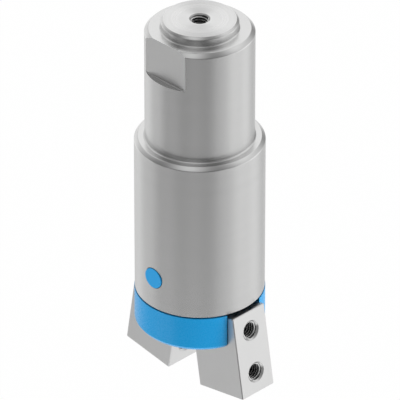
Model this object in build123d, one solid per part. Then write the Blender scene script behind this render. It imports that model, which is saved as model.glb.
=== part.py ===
from build123d import *
import math
import os

# Small round angular gripper, air to close and a spring to open, in millimetres.
# The origin is the centre of the shoulder where the shank meets the wider body. +Z points
# to the air port, X is the way the jaws open and Y is the axis of the jaws' pivot pin.

# Wider body below the shoulder
body_d = 21.5
body_edge = 0.6
body_lip = 0.15

# Shank, flat and boss, above the shoulder
shank_d = 18.0
shank_h = 20.2
shank_edge = 0.65
shank_root = 0.25
flat_depth = 1.2
flat_h = 6.95
flat_root = 0.2
boss_d = 12.75
boss_h = 1.65
boss_edge = 0.375
boss_root = 0.2
root_chords = 3

# Threaded holes are modelled at the thread's outer diameter
thread_d = 3.0
thread_mouth = 0.3

# Bores inside the body
bore_d = 12.0
roof_t = 2.95
chamber_wall = 2.25
shoulder_t = 2.25

# Pivot pin and the plugs over its ends
pivot_h = 5.83
pin_d = 3.0
pin_edge = 0.2
pin_press = 0.005
plug_d = 3.6
plug_t = 1.44
plug_proud = 0.09
plug_gap = 0.1
plug_skirt_h = 0.9
plug_skirt_gap = 0.02

# Blue cover, which stands a little wider than the steel, with a shadow groove on top
cover_step = 0.075
cover_h = 6.3
cover_round = 1.0
cover_chords = 4
cover_groove_h = 0.12
cover_groove_d = 0.5
slot_gap = 0.1
spigot_h = 2.0
spigot_gap = 0.03
window_len = 12.0
window_corner = 0.5

# Jaws, with sizes taken with the jaws closed
open_angle = 9.25
jaw_w = 7.3
jaw_drop = 2.17
jaw_h = 14.88
jaw_gap = 0.06
jaw_bevel = 0.12
neck_w = 4.6
neck_root = 0.6
neck_relief = 0.3
grip_h = 12.6
hole_top = 3.5
hole_pitch = 7.7

# Hubs and levers
pivot_gap = 0.03
bush_wall = 0.5
hub_wall = 1.17
hub_gap = 0.3
tongue_w = 2.3
plate_t = 1.05
plate_gap = 0.1
washer_t = 0.4
washer_gap = 0.02
washer_step = 0.2
lever_wall = 1.1

# Drive pin, and how far the piston moves it
stroke = 2.5
drive_pin_d = 2.0
drive_gap = 0.03
hub_clear = 1.3

# Piston rod and its clevis
rod_d = 4.0
rod_end_d = 3.0
rod_end_drop = 0.1
clevis_d = 4.0
clevis_head = 2.0
crotch_gap = 0.27
head_gap = 0.47

# Yoke, with the rod's bush and wiper
yoke_gap = 0.02
yoke_edge = 0.4
yoke_slot_gap = 0.05
rod_bush_wall = 1.2
rod_bush_h = 2.9
rod_gap = 0.04
wiper_h = 1.1
wiper_lip = 0.3
wiper_lip_gap = 0.5

# Piston and what it carries
bumper_t = 0.9
bumper_hole = 4.0
bumper_gap = 0.05
piston_h = 7.05
piston_gap = 0.05
seal_land = 0.9
seal_h = 2.0
seal_depth = 1.3
seal_gap = 0.02
ring_land = 1.1
ring_h = 1.6
ring_depth = 0.6
ring_split = 0.4
nut_flats = 5.5
nut_h = 2.4
nut_gap = 0.425
nut_drop = 0.3
spring_pilot_h = 0.8
spring_pilot_gap = 0.3

# Return spring and its seat
seat_t = 0.5
seat_gap = 0.2
wire_d = 0.9
spring_side_gap = 1.35
spring_turns = 5.5
spring_grind = 0.3

fit_gap = 0.01

# Radii and widths that follow from the sizes above
body_r = body_d / 2
cover_r = body_r + cover_step
shank_r = shank_d / 2
bore_r = bore_d / 2
rod_r = rod_d / 2
flat_y = shank_r - flat_depth
chamber_r = body_r - chamber_wall
rod_bush_r = rod_r + rod_bush_wall
spring_r = bore_r - spring_side_gap
nut_corner_r = nut_flats / 2 / math.cos(math.pi / 6)
nut_pocket_r = nut_corner_r + nut_gap
bush_r = pin_d / 2 + pivot_gap + bush_wall
hub_r = bush_r + hub_wall
lever_end_r = drive_pin_d / 2 + drive_gap + lever_wall
half_jaw = jaw_w / 2
jaw_reach = math.sqrt(cover_r ** 2 - half_jaw ** 2)
slot_w = jaw_w + 2 * slot_gap
fork_w = tongue_w + 2 * plate_gap
clevis_in = fork_w + 2 * plate_t + 2 * plate_gap
slot_wall = half_jaw + yoke_slot_gap
washer_in = slot_wall - washer_t - washer_gap
hub_half = washer_in - washer_gap

# Heights, stacked from the shoulder down to the pivot pin and the bottom of the steel
jaw_top = pivot_h + jaw_drop
drive_h = hub_r + hub_clear + clevis_d / 2 + stroke
crotch_h = lever_end_r + stroke + crotch_gap
z_chamber = -shoulder_t
z_wiper = z_chamber - rod_bush_h - wiper_h
z_yoke_roof = z_wiper - wiper_lip
z_clevis = z_yoke_roof - head_gap
z_crotch = z_clevis - clevis_head
z_drive = z_crotch - crotch_h
z_pivot = z_drive - drive_h
z_bottom = z_pivot - pivot_h
z_roof = shank_h - roof_t
z_top = shank_h + boss_h
z_seat = z_chamber + seat_t
z_bumper = z_roof - bumper_t
z_piston_top = z_bumper - bumper_gap
z_piston = z_piston_top - piston_h
plug_face = body_r + plug_proud
plug_floor = plug_face - plug_t


def turned(points):
    """A solid turned about Z from a closed outline of (radius, height) points."""
    return revolve(make_face(Plane.XZ * Polyline(*points, close=True)), Axis.Z)


def ring(r_out, r_in, z_low, z_high):
    """A plain round tube between two heights."""
    return turned([(r_in, z_low), (r_out, z_low), (r_out, z_high), (r_in, z_high)])


def cross_bar(radius, y_low, y_high, z):
    """A round bar along Y at x = 0."""
    plane = Plane(origin=(0, y_low, z), x_dir=(1, 0, 0), z_dir=(0, 1, 0))
    return extrude(plane * Circle(radius), y_high - y_low)


def cross_pin(radius, half_length, z):
    """A round pin along Y with broken ends."""
    pin = cross_bar(radius, -half_length, half_length, z)
    return chamfer(pin.edges().filter_by(GeomType.CIRCLE), pin_edge)


def plate(outline, y_low, y_high):
    """An outline drawn in X and Z, made solid between two values of y."""
    return extrude(Plane.XZ.offset(-y_high) * outline, y_high - y_low)


def twin_plates(outline, y_in, y_out):
    """The same outline as two plates, one on each side of y = 0."""
    return plate(outline, y_in, y_out) + plate(outline, -y_out, -y_in)


def threaded_hole(depth):
    """Cutter for a hole along -Z from the origin, with a countersunk mouth."""
    r = thread_d / 2
    return turned([(0, thread_mouth), (r + 2 * thread_mouth, thread_mouth),
                   (r, -thread_mouth), (r, -depth), (0, -depth)])


def root_steps(r, z, radius):
    """The hollow curve at the foot of a wall, as short chords from the floor up to the wall."""
    angles = [math.pi / 2 * step / root_chords for step in range(root_chords + 1)]
    return [(r + radius * (1 - math.sin(a)), z + radius * (1 - math.cos(a))) for a in angles]


def body_outline():
    """Half of the outside of the steel, from the axis at the bottom up to the boss."""
    boss_r = boss_d / 2
    return [(0, z_bottom), (body_r - body_lip, z_bottom), (body_r, z_bottom + body_lip),
            (body_r, -body_edge), (body_r - body_edge, 0),
            *root_steps(shank_r, 0, shank_root),
            (shank_r, shank_h - shank_edge), (shank_r - shank_edge, shank_h),
            *root_steps(boss_r, shank_h, boss_root),
            (boss_r, z_top - boss_edge), (boss_r - boss_edge, z_top), (0, z_top)]


def flat_cut():
    """Cutter for the clamping flat at -Y, with a small radius where it ends."""
    z_flat = shank_h - flat_h
    outline = Polyline((-flat_y, z_top + 1), (-flat_y, z_flat),
                       (-body_r, z_flat), (-body_r, z_top + 1), close=True)
    face = make_face(outline)
    corner = face.vertices().sort_by_distance((-flat_y, z_flat, 0))[0]
    face = fillet(corner, flat_root)
    return extrude(Plane.YZ * face, body_r, both=True)


def make_housing():
    """The steel body with its shank, flat, boss, port and stepped bore."""
    steel = turned(body_outline())
    steel -= flat_cut()
    steel -= turned([(0, z_bottom - 1), (chamber_r, z_bottom - 1), (chamber_r, z_chamber),
                     (bore_r, z_chamber), (bore_r, z_roof), (0, z_roof)])
    steel -= Pos(0, 0, z_top) * threaded_hole(boss_h + roof_t + 1)
    steel -= cross_bar(pin_d / 2 + fit_gap, -body_r, body_r, z_pivot)
    counterbore = cross_bar(plug_d / 2 + plug_gap, plug_floor, body_r + 1, z_pivot)
    return steel - counterbore - mirror(counterbore, Plane.XZ)


def make_pin_plug():
    """Plug pressed in over the front end of the pivot pin, with a narrower head."""
    head = cross_bar(plug_d / 2, -plug_face, -plug_floor, z_pivot)
    skirt_r = plug_d / 2 + plug_gap - plug_skirt_gap
    return head + cross_bar(skirt_r, -plug_floor - plug_skirt_h, -plug_floor, z_pivot)


def make_cover():
    """Blue cover: two thick segments beside the jaws and a spigot with a window above."""
    z_low = z_bottom - cover_h
    z_groove = z_bottom - cover_groove_h
    groove_r = cover_r - cover_groove_d
    angles = [math.pi / 2 * step / cover_chords for step in range(cover_chords + 1)]
    rim = [(cover_r - cover_round * (1 - math.sin(a)), z_low + cover_round * (1 - math.cos(a)))
           for a in angles]
    ring_part = turned([(0, z_low), *rim, (cover_r, z_groove), (groove_r, z_groove),
                        (groove_r, z_bottom), (0, z_bottom)])
    ring_part -= Pos(0, 0, z_low + cover_h / 2) * Box(3 * body_r, slot_w, cover_h)
    spigot = Pos(0, 0, z_bottom) * extrude(Circle(chamber_r - spigot_gap), spigot_h)
    window = RectangleRounded(window_len, slot_w, window_corner)
    spigot -= Pos(0, 0, z_bottom) * extrude(window, spigot_h)
    return ring_part + spigot


def make_yoke():
    """Insert that guides the levers: two cheeks under a solid top with the rod's bore."""
    z_low = z_bottom + spigot_h
    r = chamber_r - yoke_gap
    block = turned([(0, z_low), (r, z_low), (r, z_chamber - yoke_edge),
                    (r - yoke_edge, z_chamber), (0, z_chamber)])
    slot_h = z_yoke_roof - z_low
    block -= Pos(0, 0, z_low + slot_h / 2) * Box(3 * body_r, 2 * slot_wall, slot_h)
    block -= ring(rod_bush_r, 0, z_wiper, z_chamber)
    block -= ring(rod_r + wiper_lip_gap, 0, z_yoke_roof, z_wiper)
    return block - cross_bar(pin_d / 2 + fit_gap, -body_r, body_r, z_pivot)


def drive_point(turn):
    """Place of the drive pin in a closed jaw's frame once the jaw has closed by turn degrees."""
    height = drive_h - stroke * turn / open_angle
    angle = math.radians(open_angle - turn)
    return (height * math.sin(angle), height * math.cos(angle))


def lever_outline():
    """Tapered lever from the hub to the round end about the top of the cam slot."""
    hub = Circle(hub_r)
    end = Pos(*drive_point(0)) * Circle(lever_end_r)
    near = Pos(*drive_point(open_angle)) * Circle(lever_end_r)
    return make_hull(hub.edges() + end.edges() + near.edges())


def cam_slot():
    """Curved slot whose distance from the pivot changes evenly with the jaw's turn."""
    path = ThreePointArc(drive_point(0), drive_point(open_angle / 2), drive_point(open_angle))
    return SlotArc(path, drive_pin_d + 2 * drive_gap)


def finger_outline():
    """Finger and neck of the right jaw from the side, about the pivot, jaws closed."""
    x_in = jaw_gap / 2
    x_neck = x_in + neck_relief
    z_tip = -jaw_top - jaw_h
    z_grip = z_tip + grip_h
    face = make_face(Polyline((x_neck, 0), (x_neck, z_grip + neck_relief), (x_in, z_grip),
                              (x_in, z_tip), (jaw_reach, z_tip), (jaw_reach, -jaw_top),
                              (neck_w, -jaw_top), (hub_r, 0), close=True))
    corners = [face.vertices().sort_by_distance((x, z, 0))[0]
               for x, z in ((x_in, z_tip), (jaw_reach, z_tip), (jaw_reach, -jaw_top))]
    face = chamfer(corners, jaw_bevel)
    root = face.vertices().sort_by_distance((neck_w, -jaw_top, 0))[0]
    return fillet(root, neck_root)


def make_finger():
    """Full-width finger and neck with broken edges and two threaded through holes."""
    block = plate(finger_outline(), -half_jaw, half_jaw)
    sides = [face for face in block.faces() if abs(face.center().Y) > half_jaw - jaw_bevel]
    block = chamfer([edge for face in sides for edge in face.edges()], jaw_bevel)
    length = jaw_reach - jaw_gap / 2
    for drop in (hole_top, hole_top + hole_pitch):
        z = -jaw_top - drop
        outward = Plane(origin=(jaw_reach, 0, z), z_dir=(1, 0, 0))
        inward = Plane(origin=(jaw_gap / 2, 0, z), z_dir=(-1, 0, 0))
        block -= outward * threaded_hole(length + 1)
        block -= inward * threaded_hole(2 * thread_mouth)
    return block


def opened(jaw, side):
    """Turn a closed jaw about the pivot to the fully open pose and set it in the body."""
    return Pos(0, 0, z_pivot) * Rot(0, -side * open_angle, 0) * jaw


def make_right_jaw():
    """Right jaw: forked hub outside the tongue, with two lever plates."""
    clear = Circle(hub_r + hub_gap)
    jaw = make_finger()
    jaw -= plate(clear, -fork_w / 2, fork_w / 2)
    jaw += twin_plates(Circle(hub_r), fork_w / 2, hub_half)
    jaw += twin_plates(lever_outline(), fork_w / 2, fork_w / 2 + plate_t)
    jaw -= twin_plates(clear, hub_half, half_jaw)
    jaw -= plate(cam_slot(), -half_jaw, half_jaw)
    jaw -= plate(Circle(bush_r), -half_jaw, half_jaw)
    return opened(jaw, 1)


def make_left_jaw():
    """Left jaw: single hub and lever plate that run inside the right jaw's fork."""
    jaw = mirror(make_finger(), Plane.YZ)
    jaw -= twin_plates(Circle(hub_r + hub_gap), tongue_w / 2, half_jaw)
    lever = Circle(hub_r) + mirror(lever_outline(), Plane.YZ)
    jaw += plate(lever, -tongue_w / 2, tongue_w / 2)
    jaw -= plate(mirror(cam_slot(), Plane.YZ), -half_jaw, half_jaw)
    jaw -= plate(Circle(bush_r), -half_jaw, half_jaw)
    return opened(jaw, -1)


def make_pivot_bush(y_low, y_high):
    """Bush pressed into a hub, with a running gap round the pivot pin."""
    bore = cross_bar(pin_d / 2 + pivot_gap, y_low, y_high, z_pivot)
    return cross_bar(bush_r, y_low, y_high, z_pivot) - bore


def make_thrust_washer():
    """Thin washer between the forked hub and the front cheek of the yoke."""
    outer = cross_bar(hub_r - washer_step, -washer_in - washer_t, -washer_in, z_pivot)
    return outer - cross_bar(pin_d / 2 + pivot_gap, -slot_wall, 0, z_pivot)


def make_piston_rod():
    """Rod with a stepped upper end and a clevis that straddles the levers."""
    head = Pos(0, 0, z_crotch + clevis_head / 2) * Box(clevis_d, jaw_w, clevis_head)
    strap = Pos(0, z_drive + crotch_h / 2) * Rectangle(clevis_d, crotch_h)
    strap += Pos(0, z_drive) * Circle(clevis_d / 2)
    rod = head + twin_plates(strap, clevis_in / 2, half_jaw)
    rod = rod & ring(half_jaw, 0, z_drive - clevis_d, z_clevis)
    z_end = z_piston_top - rod_end_drop
    end_r = rod_end_d / 2
    rod += turned([(0, z_clevis), (rod_r, z_clevis), (rod_r, z_piston), (end_r, z_piston),
                   (end_r, z_end - pin_edge), (end_r - pin_edge, z_end), (0, z_end)])
    return rod - cross_bar(drive_pin_d / 2 + pin_press, -half_jaw, half_jaw, z_drive)


def make_drive_pin():
    """Cross pin held in the clevis, running in the three cam slots."""
    length = math.sqrt(half_jaw ** 2 - (drive_pin_d / 2) ** 2)
    return cross_pin(drive_pin_d / 2, length, z_drive)


def make_piston():
    """Piston with a groove for the seal, one for the guide ring and a pocket for the nut."""
    r = bore_r - piston_gap
    z_seal = z_piston_top - seal_land - seal_h
    z_ring = z_piston + ring_land
    pilot_r = spring_r - wire_d - spring_pilot_gap
    body = turned([(0, z_piston), (r, z_piston), (r, z_ring), (r - ring_depth, z_ring),
                   (r - ring_depth, z_ring + ring_h), (r, z_ring + ring_h),
                   (r, z_seal), (r - seal_depth, z_seal), (r - seal_depth, z_seal + seal_h),
                   (r, z_seal + seal_h), (r, z_piston_top), (0, z_piston_top)])
    body += ring(pilot_r, rod_r + rod_gap, z_piston - spring_pilot_h, z_piston)
    body -= ring(rod_end_d / 2 + fit_gap, 0, z_piston, z_piston_top)
    return body - ring(nut_pocket_r, 0, z_piston_top - nut_h - nut_drop, z_piston_top)


def make_piston_seal():
    """Lip seal that opens towards the air side."""
    r_in = bore_r - piston_gap - seal_depth
    r_out = bore_r - seal_gap
    z_low = z_piston_top - seal_land - seal_h
    z_high = z_low + seal_h
    middle = (r_in + r_out) / 2
    relief = (r_out - r_in) / 8
    return turned([(r_in, z_low), (r_out - relief, z_low), (r_out - relief, z_low + seal_h / 2),
                   (r_out, z_high), (r_out - relief, z_high), (middle, z_low + seal_h / 2),
                   (r_in + relief, z_high), (r_in, z_high)])


def make_guide_ring():
    """Split ring that keeps the piston central."""
    r = bore_r - piston_gap - ring_depth
    z_low = z_piston + ring_land
    band = ring(bore_r - seal_gap, r, z_low, z_low + ring_h)
    split = Pos(bore_r, 0, z_low + ring_h / 2) * Rot(30, 0, 0) * Box(bore_d / 2, ring_split, 3 * ring_h)
    return band - split


def make_piston_nut():
    """Hexagon nut that holds the piston on the rod."""
    z_low = z_piston_top - nut_h - nut_drop
    z_high = z_low + nut_h
    hexagon = Pos(0, 0, z_low) * extrude(RegularPolygon(nut_corner_r, 6), nut_h)
    edge = (nut_corner_r - nut_flats / 2) / 2
    dome = turned([(0, z_low), (nut_corner_r, z_low), (nut_corner_r, z_high - edge),
                   (nut_corner_r - 2 * edge, z_high), (0, z_high)])
    return (hexagon & dome) - ring(rod_end_d / 2 + fit_gap, 0, z_low, z_high)


def make_return_spring():
    """Compression spring with flat ground ends, its round wire drawn with six sides."""
    z_start = wire_d / 2 - spring_grind
    height = z_piston - z_seat - 2 * z_start
    path = Helix(height / spring_turns, height, spring_r - wire_d / 2)
    start = Plane(origin=path @ 0, z_dir=path % 0)
    coil = Pos(0, 0, z_seat + z_start) * sweep(start * RegularPolygon(wire_d / 2, 6), path)
    return coil & ring(bore_r, 0, z_seat, z_piston)


def make_spring_seat():
    """Washer under the spring, on top of the yoke."""
    return ring(bore_r - seat_gap, rod_r + seat_gap, z_chamber, z_seat)


def make_rod_bush():
    """Bush that guides the rod at the top of the yoke."""
    return ring(rod_bush_r - fit_gap, rod_r + rod_gap, z_chamber - rod_bush_h, z_chamber)


def make_rod_wiper():
    """Soft ring under the bush that keeps dirt out of the bore."""
    return ring(rod_bush_r - fit_gap, rod_r + rod_gap, z_wiper, z_wiper + wiper_h)


def make_bumper():
    """Soft disc under the roof of the bore, with a hole for the air."""
    return ring(bore_r - 2 * seat_gap, bumper_hole / 2, z_bumper, z_roof)


plug = make_pin_plug()
washer = make_thrust_washer()
bush_half = tongue_w / 2
nodes = {
    "housing": make_housing(),
    "cover": make_cover(),
    "yoke": make_yoke(),
    "pivot_pin": cross_pin(pin_d / 2, plug_floor, z_pivot),
    "pin_plug_front": plug,
    "pin_plug_rear": mirror(plug, Plane.XZ),
    "right_jaw": make_right_jaw(),
    "left_jaw": make_left_jaw(),
    "pivot_bush_left": make_pivot_bush(-bush_half, bush_half),
    "pivot_bush_right_front": make_pivot_bush(-hub_half, -fork_w / 2),
    "pivot_bush_right_rear": make_pivot_bush(fork_w / 2, hub_half),
    "thrust_washer_front": washer,
    "thrust_washer_rear": mirror(washer, Plane.XZ),
    "piston_rod": make_piston_rod(),
    "drive_pin": make_drive_pin(),
    "piston": make_piston(),
    "piston_seal": make_piston_seal(),
    "guide_ring": make_guide_ring(),
    "piston_nut": make_piston_nut(),
    "return_spring": make_return_spring(),
    "spring_seat": make_spring_seat(),
    "rod_bush": make_rod_bush(),
    "rod_wiper": make_rod_wiper(),
    "bumper": make_bumper(),
}

os.makedirs("parts", exist_ok=True)
for name, solid in nodes.items():
    export_step(solid, f"parts/{name}.step")
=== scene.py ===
"""Small round angular gripper, dressed for the photograph.

The turned steel body, its port thread, the blue cover, the plugs, the threads in the jaws
and the return spring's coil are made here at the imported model's dimensions. The jaws and
the rest of the mechanism keep their own solids and get their finishes. Sizes are in
millimetres, and each finished mesh is brought to metres.
"""

from __future__ import annotations

import logging
import math
from collections.abc import Callable, Sequence
from dataclasses import dataclass
from enum import Enum

import bmesh
import bpy
from mathutils import Matrix, Vector

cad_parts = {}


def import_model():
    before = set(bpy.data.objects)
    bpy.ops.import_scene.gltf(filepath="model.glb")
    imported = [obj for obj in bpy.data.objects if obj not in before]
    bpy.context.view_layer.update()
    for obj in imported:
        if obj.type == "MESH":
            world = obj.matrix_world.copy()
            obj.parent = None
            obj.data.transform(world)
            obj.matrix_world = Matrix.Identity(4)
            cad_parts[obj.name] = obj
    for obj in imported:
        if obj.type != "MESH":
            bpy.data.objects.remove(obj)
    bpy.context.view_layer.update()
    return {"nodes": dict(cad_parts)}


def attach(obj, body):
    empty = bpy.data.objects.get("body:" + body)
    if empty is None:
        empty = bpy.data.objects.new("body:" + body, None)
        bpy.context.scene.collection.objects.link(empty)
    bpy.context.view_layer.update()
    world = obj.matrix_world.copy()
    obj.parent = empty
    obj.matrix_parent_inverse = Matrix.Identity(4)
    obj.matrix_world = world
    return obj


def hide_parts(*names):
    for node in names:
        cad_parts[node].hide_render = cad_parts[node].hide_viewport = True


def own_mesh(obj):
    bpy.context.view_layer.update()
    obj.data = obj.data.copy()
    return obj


log = logging.getLogger("gripper")

MM = 0.001
PER_METRE = 1000.0
WHITE = (1.0, 1.0, 1.0, 1.0)

# Heights that several pieces share, in millimetres
Z_BOTTOM = -28.75
Z_PIVOT = -22.92

Colour = tuple[float, float, float]


class Body(Enum):
    """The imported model's bodies that the pieces made here ride on."""

    FIXED = "body"
    RIGHT = "right"
    LEFT = "left"


class Broken(Enum):
    """What a rounding breaks, in the bevel operator's words."""

    CORNERS = "VERTICES"
    EDGES = "EDGES"


class End(Enum):
    """The pivot pin's two ends, with the sign of each along Y."""

    FRONT = -1
    REAR = 1


class Side(Enum):
    """The two jaws, with the sign of the side that each one opens to."""

    RIGHT = 1
    LEFT = -1

    @property
    def body(self) -> Body:
        """The body that this side's jaw is."""
        return Body.RIGHT if self is Side.RIGHT else Body.LEFT


# Meshes


@dataclass(frozen=True)
class Corner:
    """A corner of a turned outline: its radius from the axis, its height and how it is broken."""

    r: float
    z: float
    round: float = 0.0
    steps: int = 4


def rise(edge: bmesh.types.BMEdge) -> float:
    """How far an edge climbs along Z."""
    return abs(edge.verts[0].co.z - edge.verts[1].co.z)


def add_object(name: str, data: bpy.types.ID) -> bpy.types.Object:
    """Puts a mesh, a camera or a lamp in the scene.

    Args:
        name: The object's name.
        data: What it shows.

    Returns:
        The new object.
    """
    obj = bpy.data.objects.new(name, data)
    bpy.context.scene.collection.objects.link(obj)
    return obj


class Shape:
    """One mesh in the making, in millimetres."""

    merge_gap = 1e-4
    level_gap = 1e-6

    def __init__(self) -> None:
        """Starts with an empty mesh."""
        self.bm = bmesh.new()

    def round_off(self, geometry: list, radius: float, steps: int, broken: Broken) -> None:
        """Rounds corners or edges with an even arc."""
        bmesh.ops.bevel(self.bm, geom=geometry, offset=radius, offset_type="OFFSET",
                        affect=broken.value, segments=steps, profile=0.5, material=-1,
                        clamp_overlap=True)

    def outline(self, corners: Sequence[Corner]) -> Shape:
        """Draws a closed turned outline in the XZ plane and rounds its corners.

        Args:
            corners: The corners in order.

        Returns:
            This shape.
        """
        made = [self.bm.verts.new((c.r, 0.0, c.z)) for c in corners]
        for a, b in zip(made, made[1:] + made[:1]):
            self.bm.edges.new((a, b))
        for corner, vert in zip(corners, made):
            if corner.round <= 0:
                continue
            one, two = (edge.other_vert(vert).co - vert.co for edge in vert.link_edges)
            turn = math.pi - one.angle(two)
            width = corner.round * math.tan(turn / 2)
            self.round_off([vert], width, corner.steps, Broken.CORNERS)
        return self

    def spin(self, steps: int) -> Shape:
        """Turns the outline all the way round the Z axis, in that many faces."""
        bmesh.ops.spin(self.bm, geom=self.bm.verts[:] + self.bm.edges[:], cent=(0, 0, 0),
                       axis=(0, 0, 1), dvec=(0, 0, 0), angle=math.tau, steps=steps,
                       use_merge=True)
        return self.clean()

    def disc(self, radius: float, depth: float, edge: float = 0.0, segments: int = 96) -> Shape:
        """Adds a round bar along Z whose top is at z = 0.

        Args:
            radius: Its radius.
            depth: How far it goes down.
            edge: The radius of its rims.
            segments: How many faces go round.

        Returns:
            This shape.
        """
        bmesh.ops.create_cone(self.bm, cap_ends=True, segments=segments, radius1=radius,
                              radius2=radius, depth=depth,
                              matrix=Matrix.Translation((0, 0, -depth / 2)))
        if edge > 0:
            self.round_edges(lambda e: rise(e) < self.level_gap and len(e.link_faces) == 2, edge)
        return self.clean()

    def box(self, low: Sequence[float], high: Sequence[float]) -> Shape:
        """Adds a block.

        Args:
            low: Its lowest corner.
            high: Its highest corner.

        Returns:
            This shape.
        """
        size = [b - a for a, b in zip(low, high)]
        middle = [(a + b) / 2 for a, b in zip(low, high)]
        bmesh.ops.create_cube(self.bm, size=1.0,
                              matrix=Matrix.Translation(middle) @ Matrix.Diagonal((*size, 1.0)))
        return self

    def round_edges(self, chosen: Callable[[bmesh.types.BMEdge], bool], radius: float,
                    steps: int = 4) -> Shape:
        """Rounds the edges that a test picks, in that many faces each."""
        self.round_off([e for e in self.bm.edges if chosen(e)], radius, steps, Broken.EDGES)
        return self

    def place(self, matrix: Matrix) -> Shape:
        """Moves the whole shape by a matrix in millimetres."""
        bmesh.ops.transform(self.bm, matrix=matrix, verts=self.bm.verts[:])
        return self

    def clean(self) -> Shape:
        """Merges doubles and turns every face outwards.

        Returns:
            This shape.
        """
        bmesh.ops.remove_doubles(self.bm, verts=self.bm.verts[:], dist=self.merge_gap)
        bmesh.ops.recalc_face_normals(self.bm, faces=self.bm.faces[:])
        return self

    def to_object(self, name: str) -> bpy.types.Object:
        """Makes the object, in metres, with its place in its mesh.

        Args:
            name: The object's name.

        Returns:
            The new object, linked to the scene.
        """
        self.place(Matrix.Scale(MM, 4))
        mesh = bpy.data.meshes.new(name)
        self.bm.to_mesh(mesh)
        self.bm.free()
        return add_object(name, mesh)


def bake_modifiers(obj: bpy.types.Object) -> None:
    """Takes what the modifiers make as the object's own mesh.

    Args:
        obj: The piece.
    """
    bpy.context.view_layer.update()
    graph = bpy.context.evaluated_depsgraph_get()
    made = bpy.data.meshes.new_from_object(obj.evaluated_get(graph))
    obj.modifiers.clear()
    obj.data = made


def cut(obj: bpy.types.Object, cutters: Sequence[bpy.types.Object]) -> None:
    """Takes the cutters' shapes out of an object and removes the cutters.

    Args:
        obj: The piece.
        cutters: Closed shapes, used up here.
    """
    for cutter in cutters:
        tool = obj.modifiers.new(cutter.name, "BOOLEAN")
        tool.operation = "DIFFERENCE"
        tool.solver = "EXACT"
        tool.object = cutter
    bake_modifiers(obj)
    for cutter in cutters:
        bpy.data.objects.remove(cutter)


def smooth_faces(obj: bpy.types.Object, sharp_deg: float = 28.0, face_weight: int = 80) -> None:
    """Shades an object smooth between edges sharper than an angle, with flat faces kept flat.

    Args:
        obj: The piece.
        sharp_deg: Edges that turn by more than this stay sharp.
        face_weight: How strongly the larger faces pull the shading, 50 being even.
    """
    bm = bmesh.new()
    bm.from_mesh(obj.data)
    limit = math.radians(sharp_deg)
    for face in bm.faces:
        face.smooth = True
    for edge in bm.edges:
        edge.smooth = len(edge.link_faces) == 2 and edge.calc_face_angle(0.0) < limit
    bm.to_mesh(obj.data)
    bm.free()
    even = obj.modifiers.new("even_normals", "WEIGHTED_NORMAL")
    even.keep_sharp = True
    even.weight = face_weight
    bake_modifiers(obj)


def along_y(end: End, y: float, z: float) -> Matrix:
    """Turns a shape made along Z so that its top faces out at an end of the pivot pin."""
    turn = Matrix.Rotation(-end.value * math.pi / 2, 4, "X")
    return Matrix.Translation((0, end.value * y, z)) @ turn


def coat(obj: bpy.types.Object, *materials: bpy.types.Material) -> None:
    """Gives a piece its materials.

    Args:
        obj: The piece.
        materials: The materials, in the order of their indexes.
    """
    obj.data.materials.clear()
    for material in materials:
        obj.data.materials.append(material)


def dress(node: bpy.types.Object, material: bpy.types.Material) -> None:
    """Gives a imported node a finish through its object's material slots."""
    for slot in node.material_slots:
        slot.material = material


# Shader nodes


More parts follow.
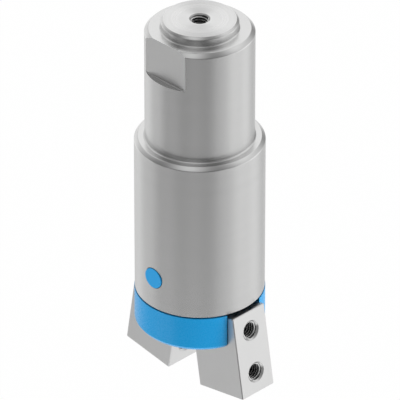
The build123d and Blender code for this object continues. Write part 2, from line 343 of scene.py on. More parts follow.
class Board:
    """Puts nodes on one tree and joins them."""

    # The places of a Mix node's colours, because its other kinds have the same names
    mix_in = (6, 7)
    mix_out = 2

    def __init__(self, tree: bpy.types.NodeTree) -> None:
        """Takes the tree to work on."""
        self.tree = tree

    def add(self, kind: str, **settings: object) -> bpy.types.Node:
        """Adds a node.

        Args:
            kind: The node's type, without the ShaderNode in front.
            settings: Properties of the node.

        Returns:
            The node.
        """
        node = self.tree.nodes.new("ShaderNode" + kind)
        for name, value in settings.items():
            setattr(node, name, value)
        return node

    def feed(self, socket: bpy.types.NodeSocket, source: object) -> None:
        """Joins a socket to another one, or sets its own value.

        Args:
            socket: The input.
            source: Another node's output, or a value.
        """
        if isinstance(source, bpy.types.NodeSocket):
            self.tree.links.new(source, socket)
        else:
            socket.default_value = source

    def fed(self, node: bpy.types.Node, sources: Sequence[object]) -> bpy.types.Node:
        """Feeds a node's inputs in order.

        Args:
            node: The node.
            sources: Sockets or values.

        Returns:
            The node.
        """
        for socket, source in zip(node.inputs, sources):
            self.feed(socket, source)
        return node

    def named(self, node: bpy.types.Node, **sources: object) -> bpy.types.Node:
        """Feeds a node's inputs by name.

        Args:
            node: The node.
            sources: Sockets or values by the inputs' names, with _ for a space.

        Returns:
            The node.
        """
        for label, source in sources.items():
            self.feed(node.inputs[label.replace("_", " ")], source)
        return node

    def end(self, surface: bpy.types.NodeSocket, kind: str = "OutputMaterial") -> None:
        """Ends the tree with what its surface shows."""
        self.feed(self.add(kind).inputs["Surface"], surface)

    def math(self, operation: str, *values: object, clamp: bool = False) -> bpy.types.NodeSocket:
        """The result of a Math node, kept from 0 to 1 where it is clamped."""
        return self.fed(self.add("Math", operation=operation, use_clamp=clamp), values).outputs[0]

    def vector(self, operation: str, *values: object) -> bpy.types.NodeOutputs:
        """The outputs of a Vector Math node."""
        return self.fed(self.add("VectorMath", operation=operation), values).outputs

    def scale(self, vector: bpy.types.NodeSocket, by: object) -> bpy.types.NodeSocket:
        """A vector made longer by so many times."""
        node = self.fed(self.add("VectorMath", operation="SCALE"), [vector])
        return self.named(node, Scale=by).outputs[0]

    def millimetres(self) -> bpy.types.NodeSocket:
        """The place on the object, in millimetres."""
        return self.scale(self.add("TexCoord").outputs["Object"], PER_METRE)

    def spread(self, value: object, low: object, high: object,
               from_low: float = 0.0, from_high: float = 1.0) -> bpy.types.NodeSocket:
        """Carries a value to the range from low to high."""
        return self.named(self.add("MapRange"), Value=value, From_Min=from_low,
                          From_Max=from_high, To_Min=low, To_Max=high).outputs["Result"]

    def noise(self, place: bpy.types.NodeSocket, scale: float, detail: float = 3.0,
              roughness: float = 0.5) -> bpy.types.NodeSocket:
        """A noise value of about 0 to 1 at a place."""
        return self.named(self.add("TexNoise"), Vector=place, Scale=scale, Detail=detail,
                          Roughness=roughness).outputs["Fac"]

    def blend(self, share: object, one: object, two: object) -> bpy.types.NodeSocket:
        """A colour between two colours.

        Args:
            share: How much of the second.
            one: The first colour.
            two: The second colour.

        Returns:
            The mixed colour.
        """
        node = self.named(self.add("Mix", data_type="RGBA"), Factor=share)
        for place, colour in zip(self.mix_in, (one, two)):
            self.feed(node.inputs[place], colour)
        return node.outputs[self.mix_out]

    def mix(self, share: object, one: object, two: object) -> bpy.types.NodeSocket:
        """A share of a second shader over a first."""
        return self.fed(self.add("MixShader"), (share, one, two)).outputs[0]


class Effect:
    """A node group that several finishes use, made once."""

    name: str = ""
    inputs: tuple[tuple[str, float], ...] = ()
    outputs: tuple[str, ...] = ()
    kept: dict[str, bpy.types.NodeTree] = {}

    def tree(self) -> bpy.types.NodeTree:
        """Makes the group's tree on first use.

        Returns:
            The tree.
        """
        if self.name not in self.kept:
            tree = bpy.data.node_groups.new(self.name, "ShaderNodeTree")
            for label, value in self.inputs:
                socket = tree.interface.new_socket(name=label, in_out="INPUT",
                                                   socket_type="NodeSocketFloat")
                socket.default_value = value
            for label in self.outputs:
                tree.interface.new_socket(name=label, in_out="OUTPUT",
                                          socket_type="NodeSocketFloat")
            board = Board(tree)
            given = tree.nodes.new("NodeGroupInput")
            out = tree.nodes.new("NodeGroupOutput")
            for label, source in self.build(board, given.outputs).items():
                board.feed(out.inputs[label], source)
            self.kept[self.name] = tree
        return self.kept[self.name]

    def build(self, board: Board, given: bpy.types.NodeOutputs) -> dict[str, bpy.types.NodeSocket]:
        """Draws the group. Each effect has its own.

        Args:
            board: The board of the group's tree.
            given: The group's inputs.

        Returns:
            What each output gets.
        """
        raise NotImplementedError

    def use(self, board: Board, **values: float) -> bpy.types.NodeOutputs:
        """Places the effect in a material.

        Args:
            board: The material's board.
            values: Inputs by name, with _ for a space.

        Returns:
            The outputs of the placed group.
        """
        node = board.add("Group")
        node.node_tree = self.tree()
        return board.named(node, **values).outputs


class TurningMarks(Effect):
    """Fine rings left by the lathe: along the height of a wall, and by radius on a face."""

    name = "turning_marks"
    inputs = (("Lines per mm", 9.0), ("Waver", 0.4))
    outputs = ("Lines", "Bands")
    waver_scale = 0.02
    bands_per_mm = 0.55

    def build(self, board: Board, given: bpy.types.NodeOutputs) -> dict[str, bpy.types.NodeSocket]:
        """Draws noise on (radius, height), so that it runs round the axis.

        Args:
            board: The board of the group's tree.
            given: The group's inputs.

        Returns:
            What each output gets.
        """
        x, y, z = board.fed(board.add("SeparateXYZ"), [board.millimetres()]).outputs
        radius = board.vector("LENGTH", board.fed(board.add("CombineXYZ"), (x, y)).outputs[0])
        turn = board.math("SINE", board.math("ARCTAN2", y, x))
        waver = board.math("MULTIPLY", turn,
                           board.math("MULTIPLY", given["Waver"], self.waver_scale))
        section = board.fed(board.add("CombineXYZ"), (radius["Value"], z, waver)).outputs[0]
        fine = board.scale(section, given["Lines per mm"])
        return {"Lines": board.noise(fine, 1.0, roughness=0.6),
                "Bands": board.noise(section, self.bands_per_mm, roughness=0.55)}


class Grain(Effect):
    """Fine even texture of a moulded or soft surface, and slow cloudy changes over it."""

    name = "fine_grain"
    inputs = (("Along x", 1.0), ("Along y", 1.0), ("Along z", 1.0), ("Grains per mm", 6.0))
    outputs = ("Grains", "Clouds")
    detail = 2.0
    roughness = 0.5
    clouds_per_mm = 0.3

    def build(self, board: Board, given: bpy.types.NodeOutputs) -> dict[str, bpy.types.NodeSocket]:
        """Draws noise at two sizes, the fine one drawn out along an axis with a small number.

        Args:
            board: The board of the group's tree.
            given: The group's inputs.

        Returns:
            What each output gets.
        """
        place = board.millimetres()
        along = [given[label] for label in ("Along x", "Along y", "Along z")]
        stretch = board.fed(board.add("CombineXYZ"), along).outputs[0]
        fine = board.scale(board.vector("MULTIPLY", place, stretch)[0], given["Grains per mm"])
        return {"Grains": board.noise(fine, 1.0, self.detail, self.roughness),
                "Clouds": board.noise(place, self.clouds_per_mm)}


class GroundGrain(Grain):
    """Short fine lines left by a grinding or milling pass along one way."""

    name = "ground_grain"
    detail = 3.0
    roughness = 0.6
    clouds_per_mm = 0.35


class EdgeHighlight(Effect):
    """A mask that is 1 at an edge, where the finishes put a painted highlight."""

    name = "painted_edge_highlight"
    inputs = (("Sharpness", 6.0),)
    outputs = ("Edge",)
    reach = 0.12
    samples = 4

    def build(self, board: Board, given: bpy.types.NodeOutputs) -> dict[str, bpy.types.NodeSocket]:
        """Compares the surface's own direction with that of a rounded edge.

        Args:
            board: The board of the group's tree.
            given: The group's inputs.

        Returns:
            What each output gets.
        """
        rounded = board.named(board.add("Bevel", samples=self.samples), Radius=self.reach * MM)
        plain = board.add("NewGeometry").outputs["Normal"]
        match = board.vector("DOT_PRODUCT", rounded.outputs[0], plain)["Value"]
        apart = board.math("SUBTRACT", 1.0, match, clamp=True)
        return {"Edge": board.math("MULTIPLY", apart, given["Sharpness"], clamp=True)}


# Finishes


@dataclass(frozen=True)
class Finish:
    """A surface with clouds between two tones, a painted highlight on its edges, a grain and a
    relief.

    The roughness changes round its middle value with the grain, from the noise value
    grain_low up. The relief's depth is in millimetres.
    """

    name: str
    tone: Colour
    shade: Colour
    rough: float = 0.32
    rough_change: float = 0.12
    effect: type[Grain] = Grain
    grain_low: float = 0.3
    grains: float = 5.0
    stretch: tuple[float, float, float] = (1.0, 1.0, 1.0)
    relief: float = 0.0008
    relief_strength: float = 0.5
    edge_sharpness: float = 6.0
    edge_gain: float = 1.15
    edge_lift: float = 0.0
    edge_rough: float = 0.0
    metallic: float = 1.0
    shine: float = 0.5

    def pattern(self, board: Board) -> tuple[bpy.types.NodeSocket, bpy.types.NodeSocket]:
        """Draws the slow clouds and the fine grain.

        Args:
            board: The material's board.

        Returns:
            Their values, about 0 to 1.
        """
        x, y, z = self.stretch
        grain = self.effect().use(board, Along_x=x, Along_y=y, Along_z=z,
                                  Grains_per_mm=self.grains)
        return grain["Clouds"], grain["Grains"]

    def special(self, board: Board, shader: bpy.types.Node) -> None:
        """Sets what only one kind of finish has, and here nothing."""

    def material(self) -> bpy.types.Material:
        """Makes the material.

        Returns:
            The material.
        """
        material = bpy.data.materials.new(self.name)
        material.use_nodes = True
        board = Board(material.node_tree)
        shader = next(n for n in material.node_tree.nodes if n.type == "BSDF_PRINCIPLED")
        clouds, grain = self.pattern(board)
        edge = EdgeHighlight().use(board, Sharpness=self.edge_sharpness)["Edge"]
        base = board.blend(clouds, (*self.shade, 1.0), (*self.tone, 1.0))
        # Edges get a lighter base colour: a painted highlight.
        edge_highlight_tone = [min(1.0, c * self.edge_gain + self.edge_lift) for c in self.tone]
        half = self.rough_change / 2
        rough = board.spread(grain, self.rough - half, self.rough + half,
                             self.grain_low, 1.0 - self.grain_low)
        if self.edge_rough > 0:
            rough = board.math("ADD", rough, board.math("MULTIPLY", edge, self.edge_rough))
        bump = board.named(board.add("Bump"), Strength=self.relief_strength,
                           Distance=self.relief * MM, Height=grain)
        board.named(shader, Base_Color=board.blend(edge, base, (*edge_highlight_tone, 1.0)),
                    Roughness=rough, Metallic=self.metallic,
                    Specular_IOR_Level=self.shine, Normal=bump.outputs[0])
        self.special(board, shader)
        return material


@dataclass(frozen=True)
class PlainMetal(Finish):
    """A metal of the inner parts, with an even fine grain."""


@dataclass(frozen=True)
class TurnedSteel(Finish):
    """Stainless steel turned on a lathe, with rings round Z that spread light across them."""

    name: str = "turned_steel"
    tone: Colour = (0.755, 0.755, 0.752)
    shade: Colour = (0.715, 0.715, 0.712)
    rough: float = 0.24
    rough_change: float = 0.06
    grain_low: float = 0.25
    relief: float = 0.0002
    edge_gain: float = 1.1
    anisotropy: float = 0.8
    quarter_turn: float = 0.25
    rings_per_mm: float = 9.0

    def pattern(self, board: Board) -> tuple[bpy.types.NodeSocket, bpy.types.NodeSocket]:
        """The slow bands and the fine rings."""
        marks = TurningMarks().use(board, Lines_per_mm=self.rings_per_mm)
        return marks["Bands"], marks["Lines"]

    def special(self, board: Board, shader: bpy.types.Node) -> None:
        """Spreads the reflections across the rings."""
        ring = board.add("Tangent", direction_type="RADIAL", axis="Z")
        board.named(shader, Anisotropic=self.anisotropy,
                    Anisotropic_Rotation=self.quarter_turn, Tangent=ring.outputs[0])


@dataclass(frozen=True)
class GroundSteel(Finish):
    """Steel with flat milled or ground faces and a fine straight grain."""

    name: str = "ground_steel"
    tone: Colour = (0.755, 0.755, 0.752)
    shade: Colour = (0.725, 0.725, 0.722)
    rough: float = 0.35
    rough_change: float = 0.08
    grain_low: float = 0.25
    relief: float = 0.0004
    edge_gain: float = 1.12
    edge_rough: float = 0.30
    effect: type[Grain] = GroundGrain
    grains: float = 8.0
    stretch: tuple[float, float, float] = (0.12, 1.0, 1.0)


@dataclass(frozen=True)
class Moulded(Finish):
    """A moulded plastic or a rubber, with a fine grain and a painted highlight on its edges."""

    rough: float = 0.38
    rough_change: float = 0.10
    grains: float = 6.0
    relief: float = 0.003
    relief_strength: float = 0.25
    edge_sharpness: float = 3.0
    edge_lift: float = 0.02
    metallic: float = 0.0


class Finishes:
    """Every finish on the gripper, made once."""

    def __init__(self) -> None:
        """Makes the materials."""
        self.turned = TurnedSteel().material()
        # The boss's face: its own finer facing rings, and a lighter tone that is painted light on
        # the top face.
        self.lit_face = TurnedSteel(name="facing_steel_painted_light", tone=(0.84, 0.84, 0.837),
                                 shade=(0.79, 0.79, 0.787), rough=0.30, rough_change=0.10,
                                 anisotropy=0.93, relief=0.0006, rings_per_mm=4.0).material()
        self.flat = GroundSteel(name="milled_flat", stretch=(1.0, 1.0, 0.12)).material()
        # Inside the bore and holes: a rougher plain grain of its own, and a darker tone that is
        # painted shade.
        self.shaded_bore = TurnedSteel(name="bored_steel_painted_shade", rough=0.45, anisotropy=0.0,
                                tone=(0.55, 0.55, 0.548), shade=(0.47, 0.47, 0.468)).material()
        self.jaw = GroundSteel().material()
        # One steel in two tones: a painted highlight on the thread's crests and painted shade on
        # its flanks.
        self.crest = GroundSteel(name="painted_highlight_crests", tone=(0.97, 0.97, 0.967),
                                 shade=(0.92, 0.92, 0.917), rough=0.45).material()
        self.shaded_flank = GroundSteel(name="painted_shade_flanks", tone=(0.22, 0.22, 0.22),
                                 shade=(0.16, 0.16, 0.16), rough=0.30).material()
        self.blue = Moulded("blue_cover", (0.012, 0.305, 0.650), (0.009, 0.290, 0.620),
                            rough=0.28, shine=0.35).material()
        self.blue_plug = Moulded("blue_plug", (0.013, 0.315, 0.690), (0.010, 0.300, 0.660),
                                 rough=0.34, shine=0.35).material()
        self.inner = PlainMetal("machined_steel", (0.52, 0.515, 0.51),
                                (0.44, 0.436, 0.43)).material()
        self.pin = PlainMetal("hardened_pin", (0.66, 0.66, 0.665), (0.60, 0.60, 0.605),
                              rough=0.2, rough_change=0.06).material()
        self.bronze = PlainMetal("sintered_bronze", (0.66, 0.43, 0.22), (0.55, 0.34, 0.16),
                                 rough=0.42, relief=0.002).material()
        self.alloy = PlainMetal("piston_alloy", (0.80, 0.80, 0.81), (0.74, 0.74, 0.75)).material()
        self.spring = PlainMetal("spring_wire", (0.36, 0.355, 0.35), (0.28, 0.276, 0.27),
                                 rough=0.28).material()
        self.rubber = Moulded("black_rubber", (0.022, 0.022, 0.024), (0.016, 0.016, 0.017),
                              rough=0.6, shine=0.35, grains=9.0).material()
        self.guide = Moulded("guide_plastic", (0.23, 0.12, 0.05), (0.19, 0.095, 0.04),
                             rough=0.5).material()


# Pieces


@dataclass
class SteelBody:
    """The turned steel body with its shank, flat, boss, port and stepped bore."""

    finishes: Finishes
    body_r: float = 10.75
    body_edge: float = 0.6
    body_lip: float = 0.15
    z_chamber: float = -2.25
    chamber_r: float = 8.5
    bore_r: float = 6.0
    z_roof: float = 17.25
    shank_r: float = 9.0
    shank_h: float = 20.2
    shank_edge: float = 0.65
    shank_root: float = 0.25
    boss_r: float = 6.375
    boss_h: float = 1.65
    boss_edge: float = 0.375
    boss_root: float = 0.2
    port_r: float = 1.5
    port_mouth: float = 0.2
    flat_y: float = 7.8
    flat_h: float = 6.95
    flat_root: float = 0.2
    pin_r: float = 1.51
    pin_drill: float = 4.0
    plug_hole_r: float = 1.9
    plug_floor: float = 9.4
    steps: int = 240
    cutter_half: float = 12.0
    cutter_y: float = 13.0
    cutter_over: float = 3.0
    drill_over: float = 1.0
    drill_lap: float = 0.5
    near: float = 0.01
    facing: float = 0.99

    @property
    def z_top(self) -> float:
        """The height of the boss's face."""
        return self.shank_h + self.boss_h

    @property
    def z_flat(self) -> float:
        """The height of the flat's foot."""
        return self.shank_h - self.flat_h

    def corners(self) -> list[Corner]:
        """Lays out the closed outline of half the body, with every edge broken.

        Returns:
            Its corners in order.
        """
        s = self
        return [
            Corner(s.chamber_r, Z_BOTTOM, 0.08),
            Corner(s.body_r - s.body_lip, Z_BOTTOM, 0.05, 3),
            Corner(s.body_r, Z_BOTTOM + s.body_lip, 0.08, 3),
            Corner(s.body_r, -s.body_edge, 0.22, 5),
            Corner(s.body_r - s.body_edge, 0.0, 0.16, 5),
            Corner(s.shank_r, 0.0, s.shank_root, 7),
            Corner(s.shank_r, s.shank_h - s.shank_edge, 0.24, 5),
            Corner(s.shank_r - s.shank_edge, s.shank_h, 0.18, 5),
            Corner(s.boss_r, s.shank_h, s.boss_root, 7),
            Corner(s.boss_r, s.z_top - s.boss_edge, 0.14, 5),
            Corner(s.boss_r - s.boss_edge, s.z_top, 0.10, 5),
            Corner(s.port_r + s.port_mouth, s.z_top, 0.05, 3),
            Corner(s.port_r, s.z_top - s.port_mouth),
            Corner(s.port_r, s.z_roof),
            Corner(s.bore_r, s.z_roof, 0.2),
            Corner(s.bore_r, s.z_chamber, 0.15),
            Corner(s.chamber_r, s.z_chamber, 0.15),
        ]

    def flat_cutter(self) -> bpy.types.Object:
        """The block that mills the clamping flat, with a small radius at its foot.

        Returns:
            The block.
        """
        block = Shape().box((-self.cutter_half, -self.cutter_y, self.z_flat),
                            (self.cutter_half, -self.flat_y, self.z_top + self.cutter_over))
        block.round_edges(lambda e: all(abs(v.co.y + self.flat_y) < Shape.merge_gap
                                        and abs(v.co.z - self.z_flat) < Shape.merge_gap
                                        for v in e.verts), self.flat_root, 6)
        return block.clean().to_object("flat_cutter")

    def hole_cutters(self, end: End) -> list[bpy.types.Object]:
        """Makes the drills for one end of the pivot pin's hole and for its plug.

        Args:
            end: The end.

        Returns:
            The drills.
        """
        start = self.body_r + self.drill_over
        drills = (("plug", self.plug_hole_r, start - self.plug_floor, start, 80),
                  ("pin", self.pin_r, self.pin_drill, self.plug_floor + self.drill_lap, 64))
        return [Shape().disc(radius, depth, segments=segments)
                .place(along_y(end, y, Z_PIVOT)).to_object(f"{name}_drill_{end.name}")
                for name, radius, depth, y, segments in drills]

    def paint(self, obj: bpy.types.Object) -> None:
        """Gives the turned outside, the milled flat and the inside their own finishes; the top
        face's lighter tone is painted light and the inside's darker tone painted shade.

        Args:
            obj: The body.
        """
        coat(obj, self.finishes.turned, self.finishes.flat, self.finishes.shaded_bore,
             self.finishes.lit_face)
        turned, flat, shaded_bore, lit_face = range(4)
        near, mouth_r = self.near, self.port_r + self.port_mouth
        for face in obj.data.polygons:
            x, y, z = (c / MM for c in face.center)
            radius = math.hypot(x, y)
            face.material_index = turned
            # The top face gets the lighter steel, painted light.
            if z > self.z_top - near and face.normal.z > self.facing:
                face.material_index = lit_face
            if z > self.z_flat and abs(y + self.flat_y) < near and face.normal.y < -self.facing:
                face.material_index = flat
            # Inside the bore, the port's mouth and the pin holes the darker steel paints shade.
            in_bore = z < self.z_top - 2 * near and radius < self.chamber_r + 2 * near and (
                radius < mouth_r or z < self.z_roof + near)
            in_hole = (abs(y) > self.plug_floor - 5 * near and radius < self.body_r - 2 * near
                       and math.hypot(x, z - Z_PIVOT) < self.plug_hole_r + 2 * near)
            if in_bore or in_hole:
                face.material_index = shaded_bore

    def build(self) -> bpy.types.Object:
        """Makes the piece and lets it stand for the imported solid.

        Returns:
            The body.
        """
        body = Shape().outline(self.corners()).spin(self.steps).to_object("steel_body")
        cutters = [self.flat_cutter()]
        for end in End:
            cutters += self.hole_cutters(end)
        cut(body, cutters)
        smooth_faces(body)
        self.paint(body)
        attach(body, Body.FIXED.value)
        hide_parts("housing")
        return body


@dataclass
class Thread:
    """A metric inside thread in a hole that was drilled to its full diameter.

    The crest and the root are shares of the pitch, from the middle of the crest. The
    groove's floor lies wall_gap inside the drilled wall, and what a mouth cuts back is
    pushed behind its cone.
    """

    name: str
    body: Body
    place: Matrix
    length: float
    finishes: Finishes
    slot: str
    major_r: float = 1.5
    minor_r: float = 1.31
    pitch: float = 0.5
    crest_share: float = 1 / 16
    root_share: float = 7 / 32
    mouth: float = 0.3
    far_mouth: float = 0.0
    run_in: float = 3.0
    # The width of the crest band that carries the painted highlight.
    highlight_band: float = 0.08
    lead: float = 0.3
    wall_gap: float = 0.004
    behind: float = 0.02
    near: float = 0.01
    around: int = 48

    @property
    def wall(self) -> float:
        """The radius of the groove's floor."""
        return self.major_r - self.wall_gap

    @property
    def highlight_r(self) -> float:
        """The radius out to which the crest band carries a painted highlight."""
        return self.minor_r + self.highlight_band

    def cone(self, depth: float, mouth: float) -> float:
        """The radius that a mouth leaves open at a depth: its own cone, then a steep run-in."""
        over = mouth - depth
        return self.major_r + (over if over > 0 else over * self.run_in)

    def open_r(self, z: float) -> float:
        """The radius that both mouths leave open at a height."""
        far = self.cone(self.length + z, self.far_mouth) if self.far_mouth > 0 else 0.0
        return max(self.cone(-z, self.mouth), far)

    def profile(self) -> list[tuple[float, float]]:
        """Draws one turn from groove to groove, over the crest.

        Returns:
            Its points as radius and height.
        """
        crest, root = self.pitch * self.crest_share, self.pitch * self.root_share
        edge = crest + (root - crest) * self.highlight_band / (self.wall - self.minor_r)
        upper = [(self.wall, self.pitch / 2), (self.wall, root), (self.highlight_r, edge),
                 (self.minor_r, crest)]
        return upper + [(r, -z) for r, z in reversed(upper)]

    def wind(self) -> Shape:
        """Winds the profile down the hole, from half a turn above it to half a turn below.

        Returns:
            The thread before its ends are cut.
        """
        shape = Shape()
        points = [shape.bm.verts.new((r, 0.0, z)) for r, z in self.profile()]
        for a, b in zip(points, points[1:]):
            shape.bm.edges.new((a, b))
        steps = round((self.length + self.pitch) / self.pitch * self.around)
        bmesh.ops.spin(shape.bm, geom=shape.bm.verts[:] + shape.bm.edges[:], cent=(0, 0, 0),
                       axis=(0, 0, 1), dvec=(0, 0, -self.pitch / self.around),
                       angle=-math.tau * steps / self.around, steps=steps, use_merge=False)
        return shape

    def cut_back(self, shape: Shape) -> None:
        """Ends the thread at both faces, cuts it back at the mouths and faces it inwards.

        Args:
            shape: The wound thread.
        """
        for vert in shape.bm.verts:
            co = vert.co
            co.z = min(0.0, max(-self.length, co.z + self.pitch / 2))
            radius, open_r = math.hypot(co.x, co.y), self.open_r(co.z)
            if radius < open_r:
                grown = (min(open_r, self.major_r + self.mouth) + self.behind) / radius
                co.x *= grown
                co.y *= grown
        bmesh.ops.recalc_face_normals(shape.bm, faces=shape.bm.faces[:])
        land = min(shape.bm.faces, key=lambda f: f.calc_center_median().xy.length)
        if land.normal.xy.dot(land.calc_center_median().xy) > 0:
            bmesh.ops.reverse_faces(shape.bm, faces=shape.bm.faces[:])

    def paint(self, obj: bpy.types.Object) -> None:
        """Paints shade on the grooves, and a painted highlight on the crest band and the first
        turn.

        Args:
            obj: The thread in its place.
        """
        coat(obj, self.finishes.shaded_flank, self.finishes.crest)
        back = self.place.inverted()
        for face in obj.data.polygons:
            face.use_smooth = False
            spot = back @ (face.center / MM)
            radius = math.hypot(spot.x, spot.y)
            first = radius < self.wall - self.near and -spot.z < self.mouth + self.lead
            # The crest band and the first turn get the painted highlight, and the grooves painted
            # shade.
            face.material_index = 1 if radius < self.highlight_r or first else 0

    def build(self) -> bpy.types.Object:
        """Makes the thread.

        Returns:
            The thread.
        """
        shape = self.wind()
        self.cut_back(shape)
        obj = shape.place(self.place).to_object(self.name)
        self.paint(obj)
        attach(obj, self.body.value)
        return obj


@dataclass
class PinPlug:
    """A blue plug pressed in over one end of the pivot pin."""

    finishes: Finishes
    end: End
    name: str
    node: str
    radius: float = 1.8
    face_y: float = 10.84
    depth: float = 1.44
    edge: float = 0.06

    def build(self) -> bpy.types.Object:
        """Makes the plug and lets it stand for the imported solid.

        Returns:
            The plug.
        """
        shape = Shape().disc(self.radius, self.depth, self.edge)
        obj = shape.place(along_y(self.end, self.face_y, Z_PIVOT)).to_object(self.name)
        smooth_faces(obj)
        coat(obj, self.finishes.blue_plug)
        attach(obj, Body.FIXED.value)
        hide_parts(self.node)
        return obj


@dataclass
class BlueCover:
    """The blue cover under the steel: two segments beside the jaws and a spigot above."""

    finishes: Finishes
    r: float = 10.825
    core_r: float = 2.0
    z_low: float = -35.15
    rim_in: float = 0.5
    rim_up: float = 0.65
    rim_round: float = 0.2
    groove_h: float = 0.12
    groove_d: float = 0.5
    slot_w: float = 7.5
    spigot_r: float = 8.47
    spigot_h: float = 2.0
    window: float = 12.0
    window_corner: float = 0.5
    moulded_edge: float = 0.12
    moulded_steps: int = 3
    moulded_deg: float = 50.0
    sharp_deg: float = 32.0
    cutter_half: float = 15.0
    cutter_over: float = 1.0
    window_over: float = 0.5
    steps: int = 240

    @property
    def top(self) -> float:
        """The height of the spigot's end."""
        return Z_BOTTOM + self.spigot_h

    def ring(self) -> bpy.types.Object:
        """Turns the round block of the cover, before its slot is cut.

        Returns:
            The block.
        """
        corners = [
            Corner(self.core_r, self.z_low),
            Corner(self.r - self.rim_in, self.z_low, self.rim_round, 5),
            Corner(self.r, self.z_low + self.rim_up, self.rim_round, 5),
            Corner(self.r, Z_BOTTOM - self.groove_h, 0.05, 3),
            Corner(self.r - self.groove_d, Z_BOTTOM - self.groove_h),
            Corner(self.r - self.groove_d, Z_BOTTOM),
            Corner(self.spigot_r, Z_BOTTOM, 0.08, 3),
            Corner(self.spigot_r, self.top, 0.2, 4),
            Corner(self.core_r, self.top),
        ]
        return Shape().outline(corners).spin(self.steps).to_object("cover_ring")

    def slot_cutters(self) -> list[bpy.types.Object]:
        """Makes the blocks that open the slot below and the window in the spigot above.

        Returns:
            The blocks.
        """
        half = self.slot_w / 2
        slot = Shape().box((-self.cutter_half, -half, self.z_low - self.cutter_over),
                           (self.cutter_half, half, Z_BOTTOM))
        window = Shape().box((-self.window / 2, -half, self.z_low - self.window_over),
                             (self.window / 2, half, self.top + self.cutter_over))
        window.round_edges(lambda e: rise(e) > self.spigot_h, self.window_corner)
        return [slot.to_object("slot_cutter"), window.to_object("window_cutter")]

    def build(self) -> bpy.types.Object:
        """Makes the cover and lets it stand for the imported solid.

        Returns:
            The cover.
        """
        obj = self.ring()
        cut(obj, self.slot_cutters())
        soften = obj.modifiers.new("moulded_edges", "BEVEL")
        soften.width = self.moulded_edge * MM
        soften.segments = self.moulded_steps
        soften.limit_method = "ANGLE"
        soften.angle_limit = math.radians(self.moulded_deg)
        bake_modifiers(obj)
        smooth_faces(obj, self.sharp_deg)
        coat(obj, self.finishes.blue)
        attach(obj, Body.FIXED.value)
        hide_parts("cover")
        return obj


@dataclass
class Jaws:
    """Both jaws: their solids' finish and the threads in their holes."""

    finishes: Finishes
    open_deg: float = 9.25
    reach: float = 10.191
    inner_x: float = 0.03
    top_drop: float = 8.0
    hole_drops: tuple[float, float] = (3.5, 11.2)
    mouth: float = 0.3

    def opened(self, side: Side) -> Matrix:
        """From a closed jaw's own frame to its place when fully open."""
        return (Matrix.Translation((0, 0, Z_PIVOT))
                @ Matrix.Rotation(math.radians(-side.value * self.open_deg), 4, "Y"))

    def hole(self, side: Side, drop: float) -> Matrix:
        """The place of a hole's mouth in the outer face, with its Z axis outwards."""
        mouth = Matrix.Translation((side.value * self.reach, 0, -self.top_drop - drop))
        return self.opened(side) @ mouth @ Matrix.Rotation(side.value * math.pi / 2, 4, "Y")

    def build(self, nodes: dict[str, bpy.types.Object]) -> list[bpy.types.Object]:
        """Dresses the jaws and threads their holes.

        Args:
            nodes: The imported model's nodes by name.

        Returns:
            The thread pieces.
        """
        for name in ("right_jaw", "left_jaw"):
            dress(nodes[name], self.finishes.jaw)
        made = []
        for side in Side:
            for label, drop in zip(("upper", "lower"), self.hole_drops):
                thread = Thread(name=f"{side.name.lower()}_{label}_thread", body=side.body,
                                place=self.hole(side, drop), length=self.reach - self.inner_x,
                                finishes=self.finishes, slot="jaw_steel",
                                mouth=self.mouth, far_mouth=self.mouth)
                made.append(thread.build())
        return made


@dataclass
class ReturnSpring:
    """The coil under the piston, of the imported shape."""

    finishes: Finishes
    stroke: float = 2.5

    def build(self, node: bpy.types.Object) -> bpy.types.Object:
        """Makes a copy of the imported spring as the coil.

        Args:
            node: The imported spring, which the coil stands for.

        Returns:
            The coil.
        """
        coil = add_object("return_coil", node.data.copy())
        coil.matrix_world = node.matrix_world.copy()
        dress(coil, self.finishes.spring)
        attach(coil, Body.FIXED.value)
        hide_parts("return_spring")
        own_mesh(coil)
        return coil


@dataclass
class Mechanism:
    """The other pieces inside, which keep their own solids."""

    finishes: Finishes

    def build(self, nodes: dict[str, bpy.types.Object]) -> list[str]:
        """Dresses every inner node.

        Args:
            nodes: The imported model's nodes by name.

        Returns:
            The names of the dressed nodes.
        """
        f = self.finishes
        looks = {
            "yoke": f.inner, "piston_rod": f.inner, "piston_nut": f.inner,
            "spring_seat": f.inner, "pivot_pin": f.pin, "drive_pin": f.pin,
            "pivot_bush_left": f.bronze, "pivot_bush_right_front": f.bronze,
            "pivot_bush_right_rear": f.bronze, "thrust_washer_front": f.bronze,
            "thrust_washer_rear": f.bronze, "rod_bush": f.bronze, "piston": f.alloy,
            "piston_seal": f.rubber, "rod_wiper": f.rubber, "bumper": f.rubber,
            "guide_ring": f.guide,
        }
        for name, material in looks.items():
            dress(nodes[name], material)
        return sorted(looks)


# Studio


@dataclass(frozen=True)
class Panel:
    """A soft patch of light on the tent, seen from the gripper.

    Its azimuth is in degrees to the right of the camera's side, and its light falls off
    faster from its middle when it is tighter.
    """

    azimuth: float
    elevation: float
    tightness: float
    level: float


@dataclass(frozen=True)
class Softbox:
    """A large lamp for the plastic, placed like a panel, with its power in watts."""

    azimuth: float
    elevation: float
    watts: float


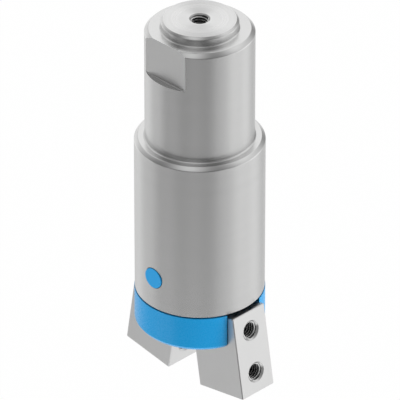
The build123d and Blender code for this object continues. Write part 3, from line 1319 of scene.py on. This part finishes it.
@dataclass
class Studio:
    """A pale table inside a soft light tent, with the camera of the photograph."""

    azimuth: float = 45.11
    elevation: float = 31.94
    distance: float = 1002.0
    aim_z: float = -12.58
    lens: float = 550.2
    sensor: float = 36.0
    shift_x: float = 0.00055
    clip_m: tuple[float, float] = (0.05, 20.0)
    world_level: float = 0.8
    tent_r: float = 3600.0
    tent_steps: int = 64
    floor_z: float = -2100.0
    floor_half: float = 6000.0
    floor_tone: float = 0.82
    floor_white: float = 0.99
    cloth_level: float = 0.10
    panels: tuple[Panel, ...] = (
        Panel(-10, 0, 24, 0.35), Panel(-55, -8, 24, 0.40), Panel(-90, -10, 24, 0.75),
        Panel(-133, -8, 8, 1.05), Panel(180, -4, 22, 1.10), Panel(40, -10, 24, 0.55),
        Panel(70, -10, 17, 1.05), Panel(107, -7, 11, 1.25), Panel(165, -44, 6, 0.65),
        Panel(-26, 61, 12, 0.77), Panel(-127, 47, 18, 0.80), Panel(180, 34, 14, 0.95),
        Panel(98, 48, 12, 0.90), Panel(137, 37, 24, 0.55))
    softboxes: tuple[Softbox, ...] = (
        Softbox(-65, -25, 2.3), Softbox(65, -25, 3.1), Softbox(180, -25, 1.0))
    softbox_distance: float = 550.0
    softbox_size: float = 400.0

    def towards(self, azimuth: float, elevation: float) -> Vector:
        """The direction at an azimuth to the right of the camera's side and an elevation."""
        a, e = math.radians(self.azimuth + azimuth), math.radians(elevation)
        return Vector((math.sin(a) * math.cos(e), -math.cos(a) * math.cos(e), math.sin(e)))

    def seen(self, board: Board) -> bpy.types.NodeSocket:
        """Tells the rays that see a surface from those that only light it.

        Args:
            board: The material's board.

        Returns:
            1 for camera, glossy and transmission rays, and 0 for the rest.
        """
        path = board.add("LightPath").outputs
        seen = board.math("ADD", path["Is Camera Ray"], path["Is Glossy Ray"])
        return board.math("ADD", seen, path["Is Transmission Ray"], clamp=True)

    def bare_board(self, obj: bpy.types.Object, name: str) -> Board:
        """Gives an object a new material with an empty tree.

        Args:
            obj: The object.
            name: The material's name.

        Returns:
            The board of the tree.
        """
        material = bpy.data.materials.new(name)
        material.use_nodes = True
        material.node_tree.nodes.clear()
        coat(obj, material)
        return Board(material.node_tree)

    def camera(self) -> None:
        """Sets the camera at the photograph's viewing angle."""
        back = self.towards(0.0, self.elevation)
        data = bpy.data.cameras.new("camera")
        data.sensor_width = self.sensor
        data.lens = self.lens
        data.shift_x = self.shift_x
        data.clip_start, data.clip_end = self.clip_m
        camera = add_object("camera", data)
        camera.location = Vector((0, 0, self.aim_z * MM)) + back * self.distance * MM
        camera.rotation_mode = "QUATERNION"
        camera.rotation_quaternion = (-back).to_track_quat("-Z", "Y")
        bpy.context.scene.camera = camera

    def world(self) -> None:
        """White where the camera, a reflection or clear glass sees past the studio."""
        world = bpy.data.worlds.new("studio_world")
        world.use_nodes = True
        bpy.context.scene.world = world
        world.node_tree.nodes.clear()
        board = Board(world.node_tree)
        level = board.spread(self.seen(board), self.world_level, 1.0)
        board.end(board.fed(board.add("Background"), (WHITE, level)).outputs[0], "OutputWorld")

    def floor(self) -> None:
        """The pale table top below the gripper, open to a camera under it."""
        shape = Shape()
        bmesh.ops.create_grid(shape.bm, x_segments=1, y_segments=1, size=self.floor_half,
                              matrix=Matrix.Translation((0, 0, self.floor_z)))
        obj = shape.to_object("floor")
        board = self.bare_board(obj, "pale_table")
        matt = board.fed(board.add("BsdfDiffuse"), [(self.floor_tone,) * 3 + (1.0,)])
        white = board.fed(board.add("Emission"), (WHITE, 1.0))
        share = board.math("MULTIPLY", self.seen(board), self.floor_white)
        lit = board.mix(share, matt.outputs[0], white.outputs[0])
        under = board.add("NewGeometry").outputs["Backfacing"]
        board.end(board.mix(under, lit, board.add("BsdfTransparent").outputs[0]))

    def tent(self) -> None:
        """The soft light tent round the gripper, with a few brighter patches."""
        shape = Shape()
        bmesh.ops.create_uvsphere(shape.bm, u_segments=self.tent_steps,
                                  v_segments=self.tent_steps // 2, radius=self.tent_r)
        bmesh.ops.reverse_faces(shape.bm, faces=shape.bm.faces[:])
        obj = shape.to_object("light_tent")
        for face in obj.data.polygons:
            face.use_smooth = True
        board = self.bare_board(obj, "tent_cloth")
        way = board.vector("NORMALIZE", board.add("TexCoord").outputs["Object"])[0]
        level: object = self.cloth_level
        for panel in self.panels:
            match = board.vector("DOT_PRODUCT", way,
                                 self.towards(panel.azimuth, panel.elevation))["Value"]
            fall = board.math("MULTIPLY", board.math("SUBTRACT", match, 1.0), panel.tightness)
            glow = board.math("MULTIPLY", board.math("EXPONENT", fall), panel.level)
            level = board.math("ADD", glow, level)
        board.end(board.fed(board.add("Emission"), (WHITE, level)).outputs[0])
        obj.active_material.cycles.emission_sampling = "NONE"
        obj.visible_camera = False
        obj.visible_shadow = False

    def lamps(self) -> None:
        """The softboxes round the gripper, kept out of the picture and of reflections."""
        for index, box in enumerate(self.softboxes):
            data = bpy.data.lights.new(f"softbox_{index}", "AREA")
            data.shape = "DISK"
            data.size = self.softbox_size * MM
            data.energy = box.watts
            lamp = add_object(f"softbox_{index}", data)
            way = self.towards(box.azimuth, box.elevation)
            lamp.location = way * self.softbox_distance * MM
            lamp.rotation_mode = "QUATERNION"
            lamp.rotation_quaternion = way.to_track_quat("Z", "Y")
            lamp.visible_camera = False
            lamp.visible_glossy = False

    def build(self) -> None:
        """Sets up the camera, the table, the tent, the lamps and the plain view settings."""
        bpy.context.scene.view_settings.view_transform = "Standard"
        self.camera()
        self.world()
        self.floor()
        self.tent()
        self.lamps()


def main() -> None:
    """Builds the dressed gripper and its studio."""
    logging.basicConfig(level=logging.INFO, format="%(name)s %(message)s")
    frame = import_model()
    nodes = frame["nodes"]
    finishes = Finishes()
    body = SteelBody(finishes)
    log.info("%s", body.build().name)
    port = Thread(name="port_thread", body=Body.FIXED,
                  place=Matrix.Translation((0, 0, body.z_top)), length=body.z_top - body.z_roof,
                  finishes=finishes, slot="body_steel", mouth=body.port_mouth)
    log.info("%s", port.build().name)
    log.info("%s", BlueCover(finishes).build().name)
    plugs = ((End.FRONT, "front_plug", "pin_plug_front"), (End.REAR, "rear_plug", "pin_plug_rear"))
    for end, name, node in plugs:
        log.info("%s", PinPlug(finishes, end, name, node).build().name)
    for thread in Jaws(finishes).build(nodes):
        log.info("%s", thread.name)
    log.info("%s", ReturnSpring(finishes).build(nodes["return_spring"]).name)
    log.info("dressed %s", ", ".join(Mechanism(finishes).build(nodes)))
    Studio().build()


if __name__ == "__main__":
    main()
